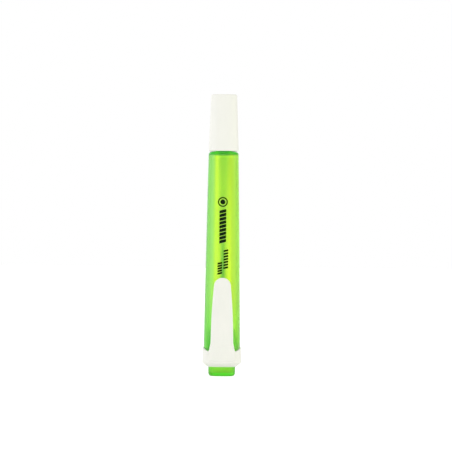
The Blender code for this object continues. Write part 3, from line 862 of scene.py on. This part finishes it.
def make_front_section(material):
    """The green section that closes the barrel's front and holds the nib."""
    plug, neck, mouth = 4.0 * MM, 3.6 * MM, 3.0 * MM
    flange = HOLDER_HIGH.x
    flange_low, flange_high = 103.75 * MM, 104.65 * MM
    cone_z = 112.5 * MM
    low, high = HOLDER_LOW.z, HOLDER_HIGH.z
    edge = 0.3 * MM
    channel = (NIB_HIGH.x + 0.12 * MM, NIB_HIGH.y + 0.12 * MM)
    rings = [turned(low, plug - edge), turned(low + edge, plug), turned(flange_low, plug)]
    rings += [turned(flange_low, flange - 0.1 * MM), turned(flange_low + 0.1 * MM, flange)]
    rings += [turned(flange_high - 0.15 * MM, flange), turned(flange_high, flange - 0.15 * MM)]
    rings += [turned(flange_high, neck + 0.15 * MM), turned(flange_high + 0.15 * MM, neck)]
    rings += [turned(z, neck) for z in stretch(106 * MM, cone_z, 6)]
    for inwards, upwards in rounding(6):
        z = high - 0.6 * MM * (1 - upwards)
        rings.append(turned(z, mouth + 0.15 * MM - 0.55 * MM * inwards))
    rings += [slab(high, *channel), slab(low, *channel)]
    section = casing("front_section", rings, material, through=True)
    groove = rectangle(-0.3 * MM, 0.3 * MM, low - 1 * MM, flange_low - 0.5 * MM)
    groove_depth = 0.6 * MM
    for side in (1, -1):
        near, far = sorted((side * (plug - groove_depth), side * (plug + groove_depth)))
        combine(section, extruded("vent_groove", groove, near, far), "DIFFERENCE")
    ride_as(section, "pen", "clear_green_plastic", "nib_holder")


def cap_half_width(z):
    share = (z - CAP_LOW.z) / (CAP_HIGH.z - CAP_LOW.z)
    top_half_width = 6.0 * MM
    return CAP_HIGH.x - (CAP_HIGH.x - top_half_width) * share


def make_cap(material):
    wall = 0.9 * MM
    roof = 1.4 * MM
    edge = 0.7 * MM
    rim = 0.18 * MM
    gate = 0.8 * MM
    gate_depth = 0.12 * MM
    ceiling = CAP_HIGH.z - roof
    start = CAP_HIGH.z - edge
    rings = []
    for inwards, upwards in rounding(4):
        rings.append(oval(CAP_LOW.z + rim * inwards, CAP_HIGH.x, rim * (1 - upwards)))
    rings += [oval(z, cap_half_width(z)) for z in stretch(CAP_LOW.z + 1 * MM, start, 14)[:-1]]
    for inwards, upwards in rounding(10):
        rings.append(oval(start + edge * upwards, cap_half_width(start), edge * inwards))
    rings += [
        turned(CAP_HIGH.z, gate + gate_depth),
        turned(CAP_HIGH.z - gate_depth, gate),
        turned(CAP_HIGH.z - gate_depth, 0.3 * MM),
        turned(CAP_HIGH.z - 0.05 * MM, 0.12 * MM),
    ]
    shell = casing("cap_shell", rings, material)

    hollow = [oval(CAP_LOW.z - 1 * MM, CAP_HIGH.x, wall)]
    hollow += [oval(z, cap_half_width(z), wall) for z in stretch(CAP_LOW.z, ceiling - 0.3 * MM, 8)]
    hollow.append(oval(ceiling, cap_half_width(ceiling), wall + 0.3 * MM))
    combine(shell, casing("cap_hollow", hollow, material), "DIFFERENCE")

    vent = (LINER_HIGH.x - 0.4 * MM + cap_half_width(ceiling) - wall) / 2
    half_width, half_length = 0.35 * MM, 1.2 * MM
    for side in (1, -1):
        middle = side * vent
        slot = rectangle(middle - half_width, middle + half_width, ceiling - 1 * MM, CAP_HIGH.z + 1 * MM)
        combine(shell, extruded("cap_vent", slot, -half_length, half_length), "DIFFERENCE")
    ride_as(shell, "cap", "white_plastic", "cap")


def make_inner_cap(material):
    """The cup inside the cap, with a ring inside it that seals round the front section."""
    low, high = LINER_LOW.z, LINER_HIGH.z
    outside_low, outside_high = LINER_HIGH.x, 3.95 * MM
    bore, bore_top = 3.88 * MM, 3.3 * MM
    seal = 3.72 * MM
    seal_low, seal_high = 107.0 * MM, 107.6 * MM
    edge = 0.3 * MM
    rings = [
        turned(high - 0.6 * MM, bore_top),
        turned(seal_high + 0.4 * MM, bore),
        turned(seal_high, seal),
        turned(seal_low, seal),
        turned(low + 0.1 * MM, bore + 0.2 * MM),
        turned(low, bore + 0.27 * MM),
        turned(low, outside_low - 0.08 * MM),
        turned(low + 0.1 * MM, outside_low),
    ]
    for inwards, upwards in rounding(5):
        rings.append(turned(high - edge * (1 - upwards), outside_high - edge * inwards))
    ride_as(casing("inner_cap", rings, material), "cap", "white_plastic", "cap_liner")


def plate_grid(name, outline_at, rows, columns, thickness):
    """A thin closed plate, fine enough to bend: outline_at(row share, column share) gives its (x, z)."""
    bm = bmesh.new()
    layers = []
    for out in (0.0, -thickness):
        layer = []
        for r in range(rows + 1):
            places = [outline_at(r / rows, c / columns) for c in range(columns + 1)]
            layer.append([bm.verts.new((x, out, z)) for x, z in places])
        layers.append(layer)
    for layer in layers:
        for r in range(rows):
            for c in range(columns):
                bm.faces.new((layer[r][c], layer[r][c + 1], layer[r + 1][c + 1], layer[r + 1][c]))
    back, front = layers
    border = [(0, c) for c in range(columns)] + [(r, columns) for r in range(rows)]
    border += [(rows, c) for c in range(columns, 0, -1)] + [(r, 0) for r in range(rows, 0, -1)]
    for (r1, c1), (r2, c2) in zip(border, border[1:] + border[:1]):
        bm.faces.new((back[r1][c1], back[r2][c2], front[r2][c2], front[r1][c1]))
    bmesh.ops.remove_doubles(bm, verts=bm.verts, dist=0.001 * MM)
    bmesh.ops.recalc_face_normals(bm, faces=bm.faces)
    mesh = bpy.data.meshes.new(name)
    bm.to_mesh(mesh)
    bm.free()
    return new_piece(name, mesh)


def make_print(ink):
    """A pattern without words: a spot in a ring, a ladder of slanting strokes and two rows of dashes."""
    printed = print_tree()
    thickness = 0.02 * MM
    ring_z = 80.3 * MM
    ring_aside = -0.15 * MM

    def lay(piece, top, aside, copies=1, pitch=1 * MM):
        values = {"Copies": copies, "Pitch": pitch, "Top": top, "Aside": aside}
        printed.made_from(piece, values, ink)
        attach(smooth(piece), "pen")

    def band(inner, outer):
        def outline(r, c):
            angle = 2 * math.pi * r
            radius = inner + (outer - inner) * c
            return radius * math.cos(angle), radius * math.sin(angle)

        return outline

    def stroke(length, width, slant):
        def outline(r, c):
            return (c - 0.5) * length, (r - 0.5) * width + (c - 0.5) * slant

        return outline

    ring = plate_grid("printed_ring", band(1.72 * MM, 2.27 * MM), 64, 1, thickness)
    lay(ring, ring_z, ring_aside)
    spot = plate_grid("printed_spot", band(0.02 * MM, 1.15 * MM), 48, 3, thickness)
    lay(spot, ring_z, ring_aside)
    rung = plate_grid("printed_ladder", stroke(3.1 * MM, 1.4 * MM, 0.8 * MM), 4, 10, thickness)
    lay(rung, 76.0 * MM, -0.1 * MM, copies=9, pitch=1.72 * MM)
    dash = stroke(2.1 * MM, 0.85 * MM, 0.5 * MM)
    lay(plate_grid("printed_dashes", dash, 2, 6, thickness), 57.9 * MM, 1.45 * MM, 7, 1.3 * MM)
    lay(plate_grid("printed_ticks", dash, 2, 6, thickness), 52.1 * MM, -1.3 * MM, 5, 1.15 * MM)


# Stage -----------------------------------------------------------------------------------------------


def make_floor():
    bpy.ops.mesh.primitive_plane_add(size=6)
    floor = bpy.context.object
    floor.name = "floor"
    finish = Finish("pale_floor", Roughness=0.9, Specular_IOR_Level=0.0)
    tone = finish.noise(finish.place(), 200 * MM, 2.0)
    finish.feed("Base Color", finish.blend(tone, (0.9, 0.9, 0.9), (0.92, 0.92, 0.92)))
    seen = finish.node("ShaderNodeLightPath", output="Is Camera Ray")
    finish.feed("Emission Color", finish.blend(seen, (0.25, 0.25, 0.25), (1, 1, 1)))
    finish.shader.inputs["Emission Strength"].default_value = 0.5
    floor.data.materials.append(finish.material)


def area_light(name, place, size, power, target, colour=(1, 1, 1)):
    light = bpy.data.lights.new(name, "AREA")
    light.shape = "RECTANGLE"
    light.size, light.size_y = size
    light.energy = power
    light.color = colour
    lamp = new_piece(name, light)
    lamp.location = place
    lamp.rotation_euler = (Vector(target) - Vector(place)).to_track_quat("-Z", "Y").to_euler()
    lamp.visible_camera = False


# The white behind the pen lights it a little less than it shows, and is reflected most on the pen's left
LIGHT_LEVEL = 0.95
REFLECTED = 0.2
LEFT_REFLECTED = 1.2


def make_lights():
    world = bpy.data.worlds.new("studio")
    bpy.context.scene.world = world
    world.use_nodes = True
    tree = Tree(world.node_tree)
    path = world.node_tree.nodes.new("ShaderNodeLightPath")
    diffuse, glossy = [Wire(tree, path.outputs[f"Is {kind} Ray"]) for kind in ("Diffuse", "Glossy")]
    direction = tree.node("ShaderNodeTexCoord", output="Generated")
    axes = tree.node("ShaderNodeSeparateXYZ", values={0: direction}).socket.node
    x, y = [Wire(tree, axes.outputs[axis]) for axis in range(2)]
    reflected = (y * 0.7 - x * 0.7).rise(0.0, 0.7) * (LEFT_REFLECTED - REFLECTED) + REFLECTED
    background = world.node_tree.nodes["Background"]
    background.inputs["Color"].default_value = (1, 1, 1, 1)
    strength = 1 - diffuse * (1 - LIGHT_LEVEL) - glossy * (1 - reflected)
    world.node_tree.links.new(strength.socket, background.inputs["Strength"])
    middle = (0, 0, 0.07)
    area_light("left_softbox", (-0.62, -0.32, 0.12), (0.3, 0.8), 0.9, middle, (1.0, 0.96, 1.0))
    area_light("right_softbox", (0.62, -0.34, 0.12), (0.3, 0.8), 0.9, middle, (1.0, 1.0, 0.6))


def make_camera():
    """Straight at the clip's side, level with the pen's middle, through a long lens."""
    camera = bpy.data.cameras.new("camera")
    camera.sensor_width = 36
    camera.lens = 200
    view_width = 208.92 * MM
    distance = view_width / 2 / (camera.sensor_width / 2 / camera.lens)
    lens = new_piece("camera", camera)
    lens.location = (1.39 * MM, -distance, 69.26 * MM)
    lens.rotation_mode = "XYZ"
    lens.rotation_euler = (math.pi / 2, math.radians(-0.53), 0)
    bpy.context.scene.camera = lens


scene = bpy.context.scene
scene.view_settings.view_transform = "Standard"
CASING = casing_tree()

white = white_plastic()
green = green_plastic(
    "clear_green_plastic",
    light=(0.91, 0.935, 0.84),
    dark=(0.87, 0.915, 0.78),
    right_lit_colour=(0.93, 0.925, 0.45),
    painted_glow=(0.1, 0.3, 0.01),
    density=740.0,
)
deep_green = green_plastic(
    "deep_green_plastic",
    light=(0.70, 0.85, 0.28),
    dark=(0.64, 0.83, 0.25),
    right_lit_colour=(0.72, 0.84, 0.24),
    painted_glow=(0.2, 0.33, 0.0),
    density=900.0,
)
fibre = soaked_fibre()
make_camera()
make_lights()
make_floor()
make_barrel(green)
make_end_plug(deep_green)
make_clip_moulding(white)
make_reservoir(fibre, clear_film())
make_nib(soaked_felt())
make_front_section(green)
make_cap(white)
make_inner_cap(white)
make_print(print_ink())
